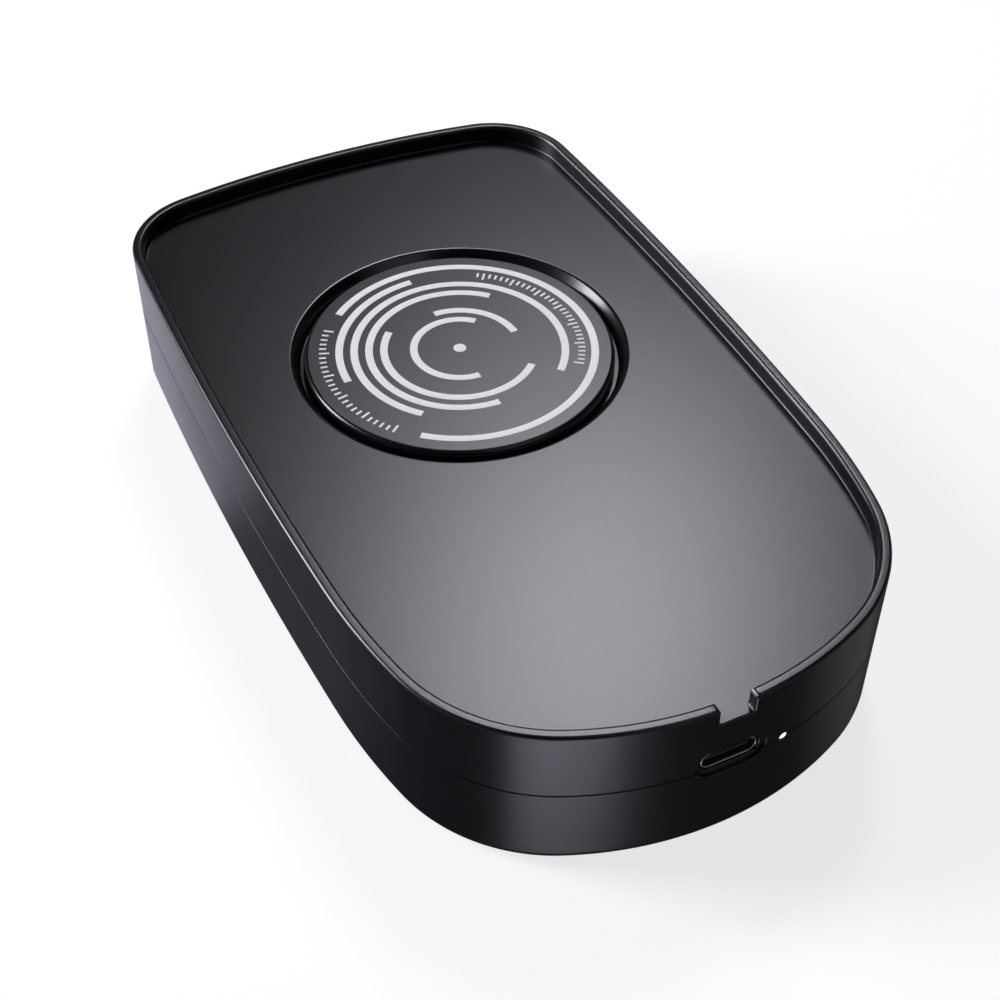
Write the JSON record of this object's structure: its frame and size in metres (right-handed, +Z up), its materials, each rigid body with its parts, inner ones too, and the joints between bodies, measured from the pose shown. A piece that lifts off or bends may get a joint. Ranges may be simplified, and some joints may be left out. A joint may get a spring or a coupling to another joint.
{
  "type": "mouse jiggler",
  "caption": "Tray-shaped desk gadget with a raised rim and a cable notch, a geared turntable flush with the deck that turns under a computer mouse's sensor, and a USB-C socket.",
  "frame": {"origin": "middle of the footprint, on the desk under the feet", "axes": "+X across the width, +Y along the length towards the turntable's end, -Y at the port and the cable notch, +Z up"},
  "size_m": [0.085, 0.145, 0.0281],
  "materials": {
    "shell_abs": "fine matt texture, moulded",
    "foot_rubber": "smooth die-cut rubber",
    "zinc_steel": "bright zinc plate",
    "disc_abs": "fine matt texture, moulded",
    "film": "matt printed polyester film",
    "ink": "screen-printed white ink",
    "tinned_steel": "cold-rolled, tin plated",
    "brass": "turned",
    "acetal": "moulded natural acetal",
    "ferrite": "sintered ferrite",
    "bronze": "sintered bronze",
    "nylon": "moulded nylon",
    "enamelled_copper": "enamelled winding wire",
    "blue_nylon": "moulded nylon",
    "lead_pvc": "extruded PVC insulation",
    "board": "solder mask over glass epoxy",
    "nickel_steel": "nickel plate",
    "contact_gold": "gold plate",
    "black_lcp": "moulded liquid crystal polymer",
    "lamp": "encapsulated lamp",
    "clear_pc": "clear polycarbonate, polished",
    "chip_epoxy": "moulded epoxy",
    "passive": "ceramic chip parts"
  },
  "bodies": {
    "housing": {"lower_shell": "shell_abs", "upper_shell": "shell_abs", "foot_pads": "foot_rubber", "case_screws": "zinc_steel", "motor_can": "tinned_steel", "motor_cover_plate": "tinned_steel", "motor_screws": "zinc_steel", "output_bush": "brass", "gear_pins": "zinc_steel", "gear_divider": "tinned_steel", "rotor_bush": "bronze", "stator_claws": "tinned_steel", "coil_bobbin": "nylon", "coil_winding": "enamelled_copper", "terminal_cover": "blue_nylon", "motor_leads": "lead_pvc", "lead_plug": "nylon", "lead_header": "nylon", "circuit_board": "board", "board_screws": "zinc_steel", "usb_socket": "nickel_steel", "usb_tongue": "black_lcp", "usb_contacts": "contact_gold", "status_led": "lamp", "light_pipe": "clear_pc", "controller_chip": "chip_epoxy", "driver_chip": "chip_epoxy", "board_passives": "passive"},
    "turntable": {"turntable_disc": "disc_abs", "disc_film": "film", "ring_print": "ink", "scale_ticks": "ink", "output_shaft": "brass", "output_gear": "acetal"},
    "gear_one": {"gear_one": "acetal"},
    "gear_two": {"gear_two": "acetal"},
    "rotor": {"rotor_pinion": "brass", "rotor_shaft": "zinc_steel", "rotor_magnet": "ferrite"}
  },
  "joints": [
    {"name": "turntable_spin", "type": "hinge", "parent": "housing", "child": "turntable", "pos_m": [0, 0.0135, 0.023], "axis": [0, 0, 1], "continuous": true},
    {"name": "gear_two_spin", "type": "hinge", "parent": "housing", "child": "gear_two", "pos_m": [0.0052, 0.0105, 0.016], "axis": [0, 0, 1], "continuous": true},
    {"name": "gear_one_spin", "type": "hinge", "parent": "housing", "child": "gear_one", "pos_m": [0.0052, 0.0045, 0.014], "axis": [0, 0, 1], "continuous": true},
    {"name": "rotor_spin", "type": "hinge", "parent": "housing", "child": "rotor", "pos_m": [0, 0.0075, 0.009], "axis": [0, 0, 1], "continuous": true}
  ],
  "couplings": [
    {"joint": "gear_two_spin", "follows": "turntable_spin", "ratio": -3},
    {"joint": "gear_one_spin", "follows": "turntable_spin", "ratio": 9},
    {"joint": "rotor_spin", "follows": "turntable_spin", "ratio": -27}
  ]
}
